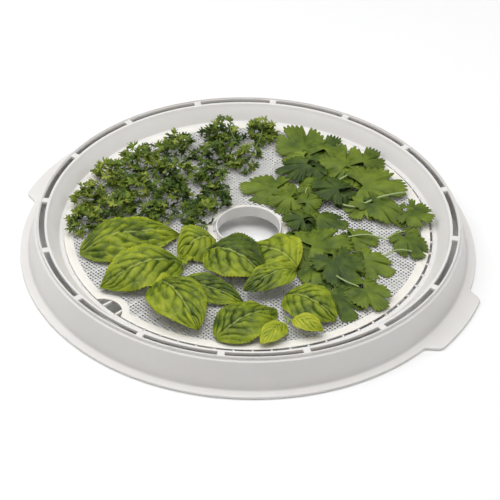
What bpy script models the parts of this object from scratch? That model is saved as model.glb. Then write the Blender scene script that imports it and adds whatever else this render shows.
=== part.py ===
"""A round stacking tray of a food dehydrator, its lift-out mesh screen and a load of herbs.

Metres, +Z up. The origin is the centre of the tray on the surface it stands on.
The two finger tabs lie on the X axis.
"""

import bmesh
import bpy
from math import asin, cos, pi, radians, sin, sqrt
from mathutils import Vector

MM = 0.001

# Driving dimensions of the tray
FLANGE_R = 171.7 * MM        # edge of the resting flange
TAB_R = 181.7 * MM           # outer edge of the finger tabs
RIM_R = 158.6 * MM           # outside of the rim
SLOT_OUT_R = 157.0 * MM      # air slots, outer edge
SLOT_IN_R = 152.9 * MM       # air slots, inner edge
FOOT_R = 142.0 * MM          # where the inner wall meets the floor
LEDGE_IN_R = 138.5 * MM      # inner edge of the flat ledge round the floor
HEIGHT = 28.0 * MM           # rim above the resting surface
FLOOR_Z = 16.0 * MM          # top of the floor ribs
WALL_T = 1.8 * MM            # moulded wall thickness
TURN_STEPS = 64              # facets round the turned shapes

# Rim and skirt
LIP_IN_R = 157.6 * MM        # inside of the raised lip round the rim
PLATE_Z = 27.0 * MM          # top of the slotted plate
PLATE_UNDER_Z = 24.6 * MM
CUT_MARGIN = 2.0 * MM        # how far a cutter runs past what it cuts
SHOULDER_R = 160.5 * MM
SHOULDER_Z = 25.2 * MM
SKIRT_FOOT_R = 165.0 * MM
FLANGE_T = 2.4 * MM
SLOT_COUNT = 16
BRIDGE_W = 4.5 * MM
EDGE = 0.5 * MM              # width of the eased edges
WALL_HOLLOW = 0.05           # how far the inner wall is hollowed, as a share of its run

# Finger tabs
TAB_HALF_ANGLE = radians(9.8)
TAB_BLEND_ANGLE = radians(3.4)
TAB_LOW_Z = 0.2 * MM
TAB_TOP_Z = 1.7 * MM
TAB_INSET = 0.6 * MM         # how far its blended ends lie inside the flange
TAB_ROOT_R = 167.0 * MM

# Floor grid: the ribs of each ring of openings, from the wall inwards
RIB_T = 3.0 * MM
RIB_W = 1.7 * MM
RING_W = 2.2 * MM
GRID_RADII = (LEDGE_IN_R + RING_W / 2, 96.0 * MM, 56.0 * MM, 25.1 * MM)
GRID_EDGE_R = 143.2 * MM     # ends inside the foot of the wall
GRID_COUNTS = (64, 32, 16)

# Collar round the centre hole
COLLAR_R = 24.8 * MM
COLLAR_BORE_R = 23.6 * MM
COLLAR_TOP_Z = 20.5 * MM
COLLAR_FOOT_Z = 11.0 * MM
COLLAR_STEPS = 40

# Mesh screen
GAP = 0.3 * MM               # between touching pieces
SCREEN_R = 137.6 * MM
SCREEN_BORDER_IN_R = 130.7 * MM
SCREEN_HOLE_R = 26.0 * MM
SCREEN_EYE_R = 30.5 * MM
SCREEN_T = 1.2 * MM
MESH_T = 0.8 * MM
MESH_LIFT = 0.2 * MM         # of the mesh above the underside of its border
MESH_OVERLAP = 2.0 * MM      # how far the mesh runs into its borders
NOTCH_CENTRE_R = 143.5 * MM
NOTCH_ANGLE = radians(-107.0)
NOTCH_R = 14.5 * MM
NOTCH_BORDER_R = 20.0 * MM
SCREEN_X = -0.8 * MM         # the screen lies a little to one side of the tray's centre
SCREEN_Y = -0.4 * MM
SCREEN_Z = FLOOR_Z + GAP

# Herbs: stand-ins lie in flat layers on the screen
LAYER_Z = SCREEN_Z + SCREEN_T + GAP
BASIL_T = 2.4 * MM
CILANTRO_T = 1.7 * MM
LAYER_GAP = 0.4 * MM

# Basil leaves: stalk end (x, y), tip (x, y), width and layer, in millimetres
BASIL_LEAVES = (
    ((-91, -92), (-41, -33), 42, 0),
    ((-19, -65), (-56, -119), 40, 1),
    ((-12, -28), (-27, -58), 33, 0),
    ((-9, -47), (42, -50), 42, 2),
    ((57, -28), (14, -22), 40, 1),
    ((-12, -88), (40, -78), 24, 0),
    ((-22, -94), (31, -126), 40, 2),
    ((60, -36), (38, -74), 24, 3),
    ((44, -124), (65, -73), 36, 0),
    ((64, -60), (108, -63), 34, 1),
    ((79, -86), (75, -114), 16, 1),
    ((83, -83), (107, -81), 16, 2),
)

# Cilantro leaves: stalk end (x, y), tip (x, y), width and layer, in millimetres
CILANTRO_LEAVES = (
    ((-4, 98), (-31, 126), 40, 0),
    ((6, 104), (1, 135), 30, 1),
    ((34, 96), (8, 124), 38, 0),
    ((40, 104), (38, 133), 30, 1),
    ((8, 88), (-14, 68), 26, 2),
    ((22, 66), (8, 92), 26, 0),
    ((46, 68), (18, 66), 26, 2),
    ((46, 80), (80, 103), 46, 0),
    ((2, 54), (-30, 40), 34, 0),
    ((16, 46), (-2, 33), 26, 1),
    ((24, 40), (27, 61), 20, 1),
    ((38, 24), (18, 20), 20, 2),
    ((62, 70), (102, 64), 24, 1),
    ((94, 74), (117, 75), 28, 2),
    ((34, 34), (62, 42), 26, 0),
    ((50, -8), (76, 21), 42, 1),
    ((70, 26), (92, 34), 26, 0),
    ((104, 50), (128, 34), 26, 1),
    ((88, 8), (118, 8), 28, 0),
    ((72, -6), (104, -22), 34, 2),
    ((104, -22), (132, -32), 30, 1),
    ((88, -32), (116, -55), 32, 0),
    ((60, -12), (80, -36), 26, 0),
    ((34, 6), (52, 16), 22, 0),
)

# Parsley sprigs: middle (x, y), width along X, width along Y and height, in millimetres
PARSLEY_SPRIGS = (
    (-108, -59, 24, 26, 11),
    (-121, -33, 22, 24, 12),
    (-94, -35, 28, 22, 13),
    (-66, -22, 24, 18, 11),
    (-38, -10, 22, 22, 12),
    (-122, -3, 22, 30, 15),
    (-96, -6, 26, 30, 14),
    (-67, 1, 26, 24, 13),
    (-39, 14, 24, 22, 12),
    (-110, 29, 26, 28, 16),
    (-81, 25, 26, 24, 14),
    (-53, 34, 24, 22, 12),
    (-94, 57, 26, 24, 16),
    (-67, 61, 24, 24, 13),
    (-76, 88, 26, 24, 16),
    (-45, 72, 18, 30, 12),
    (-50, 104, 22, 26, 15),
)


def clear_scene():
    for thing in list(bpy.data.objects):
        bpy.data.objects.remove(thing, do_unlink=True)


def new_collection(name):
    collection = bpy.data.collections.new(name)
    bpy.context.scene.collection.children.link(collection)
    return collection


def make_material(name, colour, roughness):
    material = bpy.data.materials.new(name)
    material.use_nodes = True
    shader = material.node_tree.nodes["Principled BSDF"]
    shader.inputs["Base Color"].default_value = (*colour, 1.0)
    shader.inputs["Roughness"].default_value = roughness
    shader.inputs["Metallic"].default_value = 0.0
    return material


def tray_plastic():
    return make_material("tray_plastic", (0.86, 0.85, 0.83), 0.38)


def screen_plastic():
    return make_material("screen_plastic", (0.84, 0.81, 0.74), 0.5)


def basil_green():
    return make_material("basil_green", (0.24, 0.38, 0.04), 0.45)


def cilantro_green():
    return make_material("cilantro_green", (0.12, 0.23, 0.03), 0.5)


def parsley_green():
    return make_material("parsley_green", (0.05, 0.13, 0.02), 0.55)


def finish_mesh(thing, material):
    """One material, shaded smooth with the sharp edges kept."""
    thing.data.materials.clear()
    thing.data.materials.append(material)
    thing.data.shade_smooth()
    thing.data.set_sharp_from_angle(angle=radians(35))


def link_mesh(name, mesh, collection):
    thing = bpy.data.objects.new(name, mesh)
    collection.objects.link(thing)
    return thing


def polar(radius, angle):
    return (radius * cos(angle), radius * sin(angle))


def turned(name, profile, steps, collection):
    """A closed ring turned about Z. The profile's (radius, height) points run down its outer side."""
    mesh = bpy.data.meshes.new(name)
    form = bmesh.new()
    corners = [form.verts.new((r, 0.0, z)) for r, z in profile]
    for here, after in zip(corners, corners[1:] + corners[:1]):
        form.edges.new((here, after))
    form.to_mesh(mesh)
    form.free()
    ring = link_mesh(name, mesh, collection)
    screw = ring.modifiers.new("turn", "SCREW")
    screw.axis = "Z"
    screw.angle = 2 * pi
    screw.steps = steps
    screw.render_steps = steps
    screw.use_merge_vertices = True
    screw.merge_threshold = 0.00001
    return ring


def plate(name, outlines, low, high, collection):
    """A flat closed solid between two heights. The outlines inside the first one are holes."""
    curve = bpy.data.curves.new(name, "CURVE")
    curve.dimensions = "2D"
    curve.fill_mode = "BOTH"
    curve.extrude = (high - low) / 2
    for outline in outlines:
        spline = curve.splines.new("POLY")
        spline.points.add(len(outline) - 1)
        for point, (x, y) in zip(spline.points, outline):
            point.co = (x, y, 0.0, 1.0)
        spline.use_cyclic_u = True
    outline_object = bpy.data.objects.new(name + "_outline", curve)
    collection.objects.link(outline_object)
    outline_object.location.z = (low + high) / 2
    bpy.context.view_layer.update()
    evaluated = outline_object.evaluated_get(bpy.context.evaluated_depsgraph_get())
    mesh = bpy.data.meshes.new_from_object(evaluated)
    form = bmesh.new()
    form.from_mesh(mesh)
    bmesh.ops.remove_doubles(form, verts=form.verts, dist=0.000001)
    bmesh.ops.recalc_face_normals(form, faces=form.faces)
    form.to_mesh(mesh)
    form.free()
    solid = link_mesh(name, mesh, collection)
    solid.matrix_world = outline_object.matrix_world.copy()
    bpy.data.objects.remove(outline_object, do_unlink=True)
    return solid


def boolean(target, cutter, operation):
    """Joins or cuts, and keeps the cutter as a hidden wire guide."""
    step = target.modifiers.new(cutter.name, "BOOLEAN")
    step.operation = operation
    step.object = cutter
    step.solver = "EXACT"
    cutter.hide_render = True
    cutter.display_type = "WIRE"


def circle(radius, count):
    return [polar(radius, 2 * pi * k / count) for k in range(count)]


def sector(inner, outer, start, end, segments):
    """The outline of a piece of a ring."""
    turn = [start + (end - start) * k / segments for k in range(segments + 1)]
    return [polar(outer, a) for a in turn] + [polar(inner, a) for a in reversed(turn)]


# The tray

def tray_profile():
    """The section through skirt, rim and inner wall, as one closed outline."""
    wall_top_r = SLOT_IN_R - WALL_T
    wall_rise = PLATE_Z - EDGE - FLOOR_Z
    wall = [(FOOT_R, FLOOR_Z - RIB_T - EDGE), (FOOT_R, FLOOR_Z - EDGE)]
    for k in range(1, 4):
        share = k / 4
        r = FOOT_R + (wall_top_r - FOOT_R) * (share - WALL_HOLLOW * sin(pi * share))
        wall.append((r, FLOOR_Z + wall_rise * share))
    wall.append((wall_top_r, PLATE_Z - EDGE))
    wall.append((wall_top_r + EDGE, PLATE_Z))
    outside = [
        (LIP_IN_R, PLATE_Z),
        (LIP_IN_R, HEIGHT),
        (RIM_R - EDGE, HEIGHT),
        (RIM_R, HEIGHT - EDGE),
        (RIM_R, SHOULDER_Z),
        (SHOULDER_R, SHOULDER_Z - EDGE),
        (SKIRT_FOOT_R, FLANGE_T + 2 * EDGE),
        (SKIRT_FOOT_R + 2 * EDGE, FLANGE_T),
        (FLANGE_R - EDGE, FLANGE_T),
        (FLANGE_R, FLANGE_T - EDGE),
        (FLANGE_R, 0.0),
    ]
    back = [
        (SKIRT_FOOT_R - WALL_T, 0.0),
        (SHOULDER_R - WALL_T, SHOULDER_Z - WALL_T),
        (SLOT_OUT_R + EDGE, PLATE_UNDER_Z),
        (SLOT_IN_R - EDGE, PLATE_UNDER_Z),
        (FOOT_R + WALL_T + EDGE, FLOOR_Z - EDGE),
        (FOOT_R + WALL_T, FLOOR_Z - RIB_T - EDGE),
    ]
    return outside + back + wall


def slot_outlines():
    """The air slots, with a bridge centred on each sixteenth of a turn from the X axis."""
    half_bridge = asin(BRIDGE_W / 2 / SLOT_IN_R)
    pitch = 2 * pi / SLOT_COUNT
    return [
        sector(SLOT_IN_R, SLOT_OUT_R, k * pitch + half_bridge, (k + 1) * pitch - half_bridge, 4)
        for k in range(SLOT_COUNT)
    ]


def grid_outlines():
    """The rim of the floor grid and its openings, ring by ring."""
    outlines = [circle(GRID_EDGE_R, TURN_STEPS)]
    for outer, inner, count in zip(GRID_RADII, GRID_RADII[1:], GRID_COUNTS):
        pitch = 2 * pi / count
        outside = outer - RING_W / 2
        inside = inner + RING_W / 2
        segments = max(1, 64 // count)
        for k in range(count):
            middle = k * pitch
            half_out = pitch / 2 - asin(RIB_W / 2 / outside)
            half_in = pitch / 2 - asin(RIB_W / 2 / inside)
            far = [middle - half_out + 2 * half_out * j / segments for j in range(segments + 1)]
            near = [middle + half_in - 2 * half_in * j / segments for j in range(segments + 1)]
            outlines.append([polar(outside, a) for a in far] + [polar(inside, a) for a in near])
    outlines.append(circle(COLLAR_BORE_R + EDGE, COLLAR_STEPS))
    return outlines


def collar_profile():
    return [
        (COLLAR_R, COLLAR_TOP_Z),
        (COLLAR_R, COLLAR_FOOT_Z),
        (COLLAR_BORE_R, COLLAR_FOOT_Z),
        (COLLAR_BORE_R, COLLAR_TOP_Z),
    ]


def smooth(t):
    t = min(1.0, max(0.0, t))
    return t * t * (3 - 2 * t)


def tab_outline(side):
    """A finger tab whose ends blend into the flange in an S. side is 0 at +X and pi at -X."""
    reach = TAB_HALF_ANGLE + TAB_BLEND_ANGLE
    start_r = FLANGE_R - TAB_INSET
    count = 20
    outer = []
    for k in range(count + 1):
        angle = -reach + 2 * reach * k / count
        rise = smooth((reach - abs(angle)) / TAB_BLEND_ANGLE)
        outer.append(polar(start_r + (TAB_R - start_r) * rise, side + angle))
    return outer + [polar(TAB_ROOT_R, side + turn) for turn in (reach, 0.0, -reach)]


def build_tray(parts, cutters, material):
    tray = turned("tray", tray_profile(), TURN_STEPS, parts)
    collar = turned("collar_guide", collar_profile(), COLLAR_STEPS, cutters)
    grid = plate("floor_grid_guide", grid_outlines(), FLOOR_Z - RIB_T, FLOOR_Z, cutters)
    slots = plate("slot_cutter", slot_outlines(), PLATE_UNDER_Z - CUT_MARGIN,
                  PLATE_Z + CUT_MARGIN, cutters)
    boolean(tray, slots, "DIFFERENCE")
    for name, side in (("tab_guide_right", 0.0), ("tab_guide_left", pi)):
        tab = plate(name, [tab_outline(side)], TAB_LOW_Z, TAB_TOP_Z, cutters)
        boolean(tray, tab, "UNION")
    boolean(tray, grid, "UNION")
    boolean(tray, collar, "UNION")
    finish_mesh(tray, material)


# The mesh screen

def notched_circle(radius, bite, count=64):
    """A circle round the origin with a round bite out of it where the finger notch is."""
    points = []
    for k in range(count):
        off = 2 * pi * k / count
        r = radius
        side = NOTCH_CENTRE_R * sin(off)
        if cos(off) > 0 and abs(side) < bite:
            r = min(r, NOTCH_CENTRE_R * cos(off) - sqrt(bite * bite - side * side))
        points.append(polar(r, NOTCH_ANGLE + off))
    return points


def build_screen(parts, cutters, material):
    outline = notched_circle(SCREEN_R, NOTCH_R)
    inside = notched_circle(SCREEN_BORDER_IN_R, NOTCH_BORDER_R)
    top = SCREEN_Z + SCREEN_T
    screen = plate("mesh_screen", [outline, inside], SCREEN_Z, top, parts)
    eye = plate("eye_guide", [circle(SCREEN_EYE_R, COLLAR_STEPS), circle(SCREEN_HOLE_R, COLLAR_STEPS)],
                SCREEN_Z, top, cutters)
    sheet_low = SCREEN_Z + MESH_LIFT
    edge = notched_circle(SCREEN_BORDER_IN_R + MESH_OVERLAP, NOTCH_BORDER_R - MESH_OVERLAP)
    sheet = plate("sheet_guide", [edge, circle(SCREEN_EYE_R - MESH_OVERLAP, COLLAR_STEPS)],
                  sheet_low, sheet_low + MESH_T, cutters)
    for piece in (screen, eye, sheet):
        piece.location.x = SCREEN_X
        piece.location.y = SCREEN_Y
    boolean(screen, sheet, "UNION")
    boolean(screen, eye, "UNION")
    finish_mesh(screen, material)


# The herbs

def leaf_outline(stalk, tip, width, half_width, count):
    """An outline about the line from stalk to tip, mirrored, from its half width along the way."""
    start = Vector(stalk) * MM
    along = Vector(tip) * MM - start
    across = Vector((-along.y, along.x)).normalized() * (width * MM / 2)
    right = []
    left = []
    for k in range(1, count):
        t = k / count
        right.append(start + along * t - across * half_width(t))
        left.append(start + along * t + across * half_width(t))
    return [start] + right + [start + along] + list(reversed(left))


def basil_half_width(t):
    """Broad near the stalk, drawn out to a point at the tip."""
    return sin(pi * t ** 0.8) ** 0.75


def cilantro_half_width(t):
    """Narrow at the stalk, then a wide fan that rounds off at the tip."""
    return 0.9 * sin(pi * t ** 1.3) ** 0.65


def flat_leaf(name, row, thickness, half_width, count, parts, material):
    stalk, tip, width, layer = row
    low = LAYER_Z + layer * (thickness + LAYER_GAP)
    outline = leaf_outline(stalk, tip, width, half_width, count)
    leaf = plate(name, [[(p.x, p.y) for p in outline]], low, low + thickness, parts)
    finish_mesh(leaf, material)


def build_basil(parts, material):
    for number, row in enumerate(BASIL_LEAVES, 1):
        flat_leaf(f"basil_leaf_{number:02d}", row, BASIL_T, basil_half_width, 9, parts, material)


def build_cilantro(parts, material):
    for number, row in enumerate(CILANTRO_LEAVES, 1):
        name = f"cilantro_leaf_{number:02d}"
        flat_leaf(name, row, CILANTRO_T, cilantro_half_width, 11, parts, material)


def build_parsley(parts, material):
    """Each sprig is a low dome with a flat underside."""
    for number, (x, y, wide, deep, tall) in enumerate(PARSLEY_SPRIGS, 1):
        form = bmesh.new()
        bmesh.ops.create_uvsphere(form, u_segments=10, v_segments=7, radius=1.0)
        cut = bmesh.ops.bisect_plane(
            form, geom=form.verts[:] + form.edges[:] + form.faces[:],
            plane_co=(0.0, 0.0, -0.25), plane_no=(0.0, 0.0, 1.0), clear_inner=True)
        rim = [g for g in cut["geom_cut"] if isinstance(g, bmesh.types.BMEdge)]
        bmesh.ops.contextual_create(form, geom=rim)
        size = Vector((wide / 2, deep / 2, tall / 1.25)) * MM
        bmesh.ops.scale(form, verts=form.verts, vec=size)
        middle = Vector((x * MM, y * MM, LAYER_Z + 0.25 * size.z))
        bmesh.ops.translate(form, verts=form.verts, vec=middle)
        bmesh.ops.recalc_face_normals(form, faces=form.faces)
        name = f"parsley_sprig_{number:02d}"
        mesh = bpy.data.meshes.new(name)
        form.to_mesh(mesh)
        form.free()
        finish_mesh(link_mesh(name, mesh, parts), material)


def main():
    clear_scene()
    parts = new_collection("dehydrator_tray")
    cutters = new_collection("cutters")
    build_tray(parts, cutters, tray_plastic())
    build_screen(parts, cutters, screen_plastic())
    build_basil(parts, basil_green())
    build_cilantro(parts, cilantro_green())
    build_parsley(parts, parsley_green())


main()
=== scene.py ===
"""Looks of a round dehydrator tray with its mesh screen and a load of basil, cilantro and parsley.

The tray and the screen are modelled again with fine edges over the plain solids, and every
herb stand-in is replaced with real leaves. Lengths are in metres.
"""

import random
from collections import namedtuple
from math import atan2, cos, exp, hypot, pi, radians, sin, sqrt, tau

import bmesh
import bpy
from mathutils import Matrix, Vector, noise


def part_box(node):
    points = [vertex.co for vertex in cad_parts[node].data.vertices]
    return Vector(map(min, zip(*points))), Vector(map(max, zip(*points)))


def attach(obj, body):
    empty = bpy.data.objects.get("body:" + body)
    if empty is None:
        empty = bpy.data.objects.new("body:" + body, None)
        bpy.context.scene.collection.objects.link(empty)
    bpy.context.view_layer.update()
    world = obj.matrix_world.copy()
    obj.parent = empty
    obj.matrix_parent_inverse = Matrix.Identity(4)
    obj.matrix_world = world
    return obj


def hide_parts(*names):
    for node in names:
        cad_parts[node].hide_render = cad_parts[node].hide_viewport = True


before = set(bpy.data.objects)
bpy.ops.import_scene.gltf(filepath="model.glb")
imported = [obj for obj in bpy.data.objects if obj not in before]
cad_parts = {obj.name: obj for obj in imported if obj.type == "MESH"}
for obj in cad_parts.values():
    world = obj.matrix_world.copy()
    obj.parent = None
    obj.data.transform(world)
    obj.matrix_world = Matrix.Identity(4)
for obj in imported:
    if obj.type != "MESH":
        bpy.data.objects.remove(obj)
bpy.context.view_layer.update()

MM = 0.001

# Sizes read from the plain solids
TRAY_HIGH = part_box("tray")[1]
SCREEN_LOW, SCREEN_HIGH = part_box("mesh_screen")
RIM_Z = TRAY_HIGH.z
TAB_R = TRAY_HIGH.x
FLANGE_R = TRAY_HIGH.y
SCREEN_R = (SCREEN_HIGH.x - SCREEN_LOW.x) / 2
SCREEN_X = (SCREEN_HIGH.x + SCREEN_LOW.x) / 2
SCREEN_Y = SCREEN_HIGH.y - SCREEN_R
SCREEN_Z = SCREEN_LOW.z - 0.2 * MM
SCREEN_TOP = SCREEN_HIGH.z - 0.5 * MM

# Tray section
RIM_R = 158.6 * MM
SLOT_OUT_R = 157.0 * MM
SLOT_IN_R = 152.9 * MM
LIP_IN_R = 157.6 * MM
PLATE_Z = 27.0 * MM
WALL_TOP_R = 151.1 * MM
FOOT_R = 142.0 * MM
LEDGE_IN_R = 138.5 * MM
FLOOR_Z = 16.0 * MM
WALL_T = 1.8 * MM
SHOULDER_R = 160.5 * MM
SHOULDER_Z = 25.2 * MM
SKIRT_FOOT_R = 165.0 * MM
FLANGE_T = 2.4 * MM
PLATE_UNDER_Z = 24.6 * MM
EDGE = 0.5 * MM
SLOT_COUNT = 16
STEPS_PER_SLOT = 36
BRIDGE_STEPS = 3
TAB_HALF_ANGLE = radians(9.8)
TAB_BLEND_ANGLE = radians(3.4)

# Floor grid
RIB_W = 1.7 * MM
RIB_T = 3.0 * MM
RING_W = 2.2 * MM
GRID_RADII = (139.6 * MM, 96.0 * MM, 56.0 * MM, 24.9 * MM)
GRID_COUNTS = (64, 32, 16)
COLLAR_R = 24.8 * MM
COLLAR_BORE_R = 23.6 * MM
COLLAR_TOP_Z = 20.5 * MM
COLLAR_FOOT_Z = 11.0 * MM

# Mesh screen
BORDER_IN_R = 130.7 * MM
EYE_HOLE_R = 26.0 * MM
EYE_R = 30.5 * MM
NOTCH_CENTRE_R = 143.5 * MM
NOTCH_ANGLE = radians(-107.0)
NOTCH_R = 14.5 * MM
NOTCH_BORDER_R = 20.0 * MM
STRAND_PITCH = 2.6 * MM
STRAND_W = 1.00 * MM
STRAND_T = 0.40 * MM
STRAND_ANGLES = (radians(73.8), radians(-16.2))

Leaf = namedtuple("Leaf", "node heading arch dome rise tone far_tone pleat seed")

# Heading is the stalk-to-tip direction in degrees. Arch, dome and rise are in millimetres: the
# rise of the middle along and across, and of the far long edge over the near one. The far half
# differs in tone by far_tone: painted shade for a half that faces away from the light (painted
# light where far_tone is above zero). Pleat is the depth in millimetres of folds along the leaf;
# the folds are also painted darker as painted shade.
BASIL = (
    Leaf("basil_leaf_01", 49, 6.0, 6.0, 4.0, 0.50, -0.06, 1.8, 1),
    Leaf("basil_leaf_02", -124, 4.5, 5.5, 7.0, 0.52, 0.02, 0.0, 2),
    Leaf("basil_leaf_03", -116, 4.0, 4.5, 8.0, 0.60, -0.04, 0.0, 3),
    Leaf("basil_leaf_04", -3, 4.5, 4.0, 7.0, 0.40, -0.24, 0.6, 4),
    Leaf("basil_leaf_05", 172, 3.5, 3.0, 8.0, 0.58, 0.00, 0.0, 5),
    Leaf("basil_leaf_06", 11, 3.0, 2.5, 6.0, 0.42, -0.22, 0.8, 6),
    Leaf("basil_leaf_07", -31, 5.0, 5.0, 3.0, 0.46, -0.06, 1.0, 7),
    Leaf("basil_leaf_08", -120, 3.0, 2.0, 3.0, 0.30, 0.06, 0.9, 8),
    Leaf("basil_leaf_09", 68, 4.5, 4.5, 4.0, 0.48, -0.04, 0.0, 9),
    Leaf("basil_leaf_10", -4, 4.0, 4.0, 4.0, 0.46, -0.10, 0.0, 10),
    Leaf("basil_leaf_11", -98, 2.0, 2.0, 2.0, 0.72, 0.00, 0.0, 11),
    Leaf("basil_leaf_12", 5, 2.5, 2.0, 2.0, 0.70, 0.05, 0.0, 12),
)

CILANTRO_HEADINGS = (
    134, 99, 133, 94, -138, 118, -176, 34, -156, -144, 82, -169,
    -9, 2, 16, 48, 20, -34, 0, -27, -20, -39, -50, 29,
)


CILANTRO_TONES = (
    0.50, 0.44, 0.54, 0.50, 0.28, 0.56, 0.24, 0.54, 0.58, 0.54, 0.50, 0.38,
    0.50, 0.50, 0.42, 0.56, 0.50, 0.44, 0.58, 0.32, 0.52, 0.44, 0.46, 0.54,
)

# Stalks: start, end, bow to the side and radius, in millimetres
CILANTRO_STALKS = (
    ((60, 62, 21), (84, 92, 25), 2.0, 1.1),
    ((46, 60, 20), (60, 62, 21), -2.0, 1.0),
    ((70, 26, 20), (98, 34, 24), 3.0, 0.8),
    ((52, 16, 20), (72, 26, 21), -2.0, 0.9),
    ((104, 20, 20), (120, 34, 22), 3.0, 0.7),
    ((66, -10, 21), (88, 8, 22), 2.0, 0.8),
    ((84, -20, 22), (106, -24, 23), -2.0, 0.8),
    ((30, 40, 20), (16, 62, 22), 2.0, 0.7),
    ((30, 84, 20), (38, 104, 24), -2.0, 0.8),
    ((40, -4, 20), (60, -14, 21), 1.5, 0.7),
    ((96, 40, 20), (108, 56, 22), 1.5, 0.7),
)

PARSLEY_TONES = (
    0.46, 0.50, 0.34, 0.26, 0.24, 0.46, 0.32, 0.26, 0.24, 0.40, 0.30, 0.22, 0.30, 0.26, 0.32,
    0.38, 0.44,
)

PARSLEY_STALKS = (
    ((-60, 40, 20), (-38, 62, 26), 3.0, 0.5),
    ((-86, 44, 21), (-70, 74, 28), -2.0, 0.5),
    ((-58, 86, 20), (-72, 96, 30), 2.0, 0.5),
    ((-110, -46, 19), (-96, -20, 26), 2.0, 0.5),
    ((-88, -46, 19), (-66, -10, 24), -3.0, 0.5),
    ((-50, 8, 19), (-30, 26, 26), 2.0, 0.5),
    ((-96, 12, 20), (-84, 40, 28), 2.0, 0.5),
    ((-44, 84, 20), (-52, 112, 30), -3.0, 0.5),
)


def smooth(t):
    t = min(1.0, max(0.0, t))
    return t * t * (3 - 2 * t)


# Materials

class Wire:
    """A shader socket that takes part in Python expressions."""

    def __init__(self, paint, socket):
        self.paint = paint
        self.socket = socket

    def __add__(self, other):
        return self.paint.maths("ADD", self, other)

    def __sub__(self, other):
        return self.paint.maths("SUBTRACT", self, other)

    def __rsub__(self, other):
        return self.paint.maths("SUBTRACT", other, self)

    def __mul__(self, other):
        return self.paint.maths("MULTIPLY", self, other)

    def __truediv__(self, other):
        return self.paint.maths("DIVIDE", self, other)

    def __pow__(self, other):
        return self.paint.maths("POWER", self, other)

    __radd__ = __add__
    __rmul__ = __mul__


class Paint:
    """A procedural material built round one Principled shader."""

    def __init__(self, name):
        self.material = bpy.data.materials.new(name)
        self.material.use_nodes = True
        self.nodes = self.material.node_tree.nodes
        self.links = self.material.node_tree.links
        self.shader = self.nodes["Principled BSDF"]

    def node(self, kind, settings=None, sockets=None):
        made = self.nodes.new(kind)
        for key, value in (settings or {}).items():
            if key == "stops":
                self.set_stops(made.color_ramp, value)
            else:
                setattr(made, key, value)
        for key, value in (sockets or {}).items():
            self.feed(made.inputs[key], value)
        return made

    def set_stops(self, ramp, stops):
        while len(ramp.elements) < len(stops):
            ramp.elements.new(0.5)
        for element, (place, colour) in zip(ramp.elements, stops):
            element.position = place
            element.color = (*colour, 1.0)

    def feed(self, socket, value):
        if isinstance(value, Wire):
            self.links.new(value.socket, socket)
        elif isinstance(value, tuple) and socket.type == "RGBA":
            socket.default_value = (*value, 1.0)
        else:
            socket.default_value = value

    def wire(self, node, output=0):
        return Wire(self, node.outputs[output])

    def maths(self, operation, a, b=0.0, clamp=False):
        settings = {"operation": operation, "use_clamp": clamp}
        return self.wire(self.node("ShaderNodeMath", settings, {0: a, 1: b}))

    def band(self, value, low, high):
        """0 below low, 1 above high, smooth between."""
        settings = {"interpolation_type": "SMOOTHSTEP"}
        sockets = {"Value": value, "From Min": low, "From Max": high}
        return self.wire(self.node("ShaderNodeMapRange", settings, sockets))

    def place(self):
        return self.wire(self.node("ShaderNodeTexCoord"), "Object")

    def attribute(self, name):
        return self.wire(self.node("ShaderNodeAttribute", {"attribute_name": name}), "Fac")

    def uv(self):
        """The piece's own two coordinates as separate values."""
        chart = self.wire(self.node("ShaderNodeUVMap", {"uv_map": "leaf"}))
        split = self.node("ShaderNodeSeparateXYZ", None, {0: chart})
        return self.wire(split, "X"), self.wire(split, "Y")

    def grain(self, scale, detail=3.0, roughness=0.5, vector=None):
        sockets = {"Vector": vector or self.place(), "Scale": scale, "Detail": detail,
                   "Roughness": roughness}
        return self.wire(self.node("ShaderNodeTexNoise", None, sockets), "Fac")

    def cells(self, scale, feature="DISTANCE_TO_EDGE"):
        sockets = {"Vector": self.place(), "Scale": scale}
        return self.wire(self.node("ShaderNodeTexVoronoi", {"feature": feature}, sockets),
                         "Distance")

    def blend(self, factor, a, b):
        """A colour between a and b."""
        mix = self.node("ShaderNodeMix", {"data_type": "RGBA"})
        self.feed(mix.inputs["Factor"], factor)
        colours = [s for s in mix.inputs if s.type == "RGBA"]
        self.feed(colours[0], a)
        self.feed(colours[1], b)
        result = [s for s in mix.outputs if s.type == "RGBA"][0]
        return Wire(self, result)

    def ramp(self, factor, stops):
        return self.wire(self.node("ShaderNodeValToRGB", {"stops": stops}, {"Fac": factor}))

    def bump(self, height, strength, distance):
        sockets = {"Height": height, "Strength": strength, "Distance": distance}
        self.feed(self.shader.inputs["Normal"], self.wire(self.node("ShaderNodeBump", None, sockets)))

    def finish(self, colour, roughness, **constants):
        self.feed(self.shader.inputs["Base Color"], colour)
        self.feed(self.shader.inputs["Roughness"], roughness)
        for name, value in constants.items():
            self.shader.inputs[name.replace("_", " ")].default_value = value
        return self.material


# Thin plastic lets some of the light through
LETS_LIGHT_IN = {"Subsurface_Weight": 0.6, "Subsurface_Scale": 0.002,
                 "Subsurface_Radius": (1.0, 0.92, 0.80)}


def tray_plastic():
    """Satin white moulded plastic with a fine texture, faint flow marks and light scuffs."""
    paint = Paint("tray_white")
    flow = paint.grain(14.0, 4.0, 0.6)
    fine = paint.grain(900.0, 2.0)
    scuff = paint.band(paint.grain(160.0, 6.0, 0.7), 0.62, 0.72)
    colour = paint.ramp(flow, ((0.3, (0.755, 0.735, 0.715)), (0.7, (0.805, 0.787, 0.768))))
    colour = paint.blend(scuff * 0.25, colour, (0.69, 0.67, 0.645))
    paint.bump(fine * 0.6 + scuff * 0.4, 0.10, 0.0003)
    return paint.finish(colour, 0.36 + 0.10 * flow + 0.12 * scuff, **LETS_LIGHT_IN)


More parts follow.
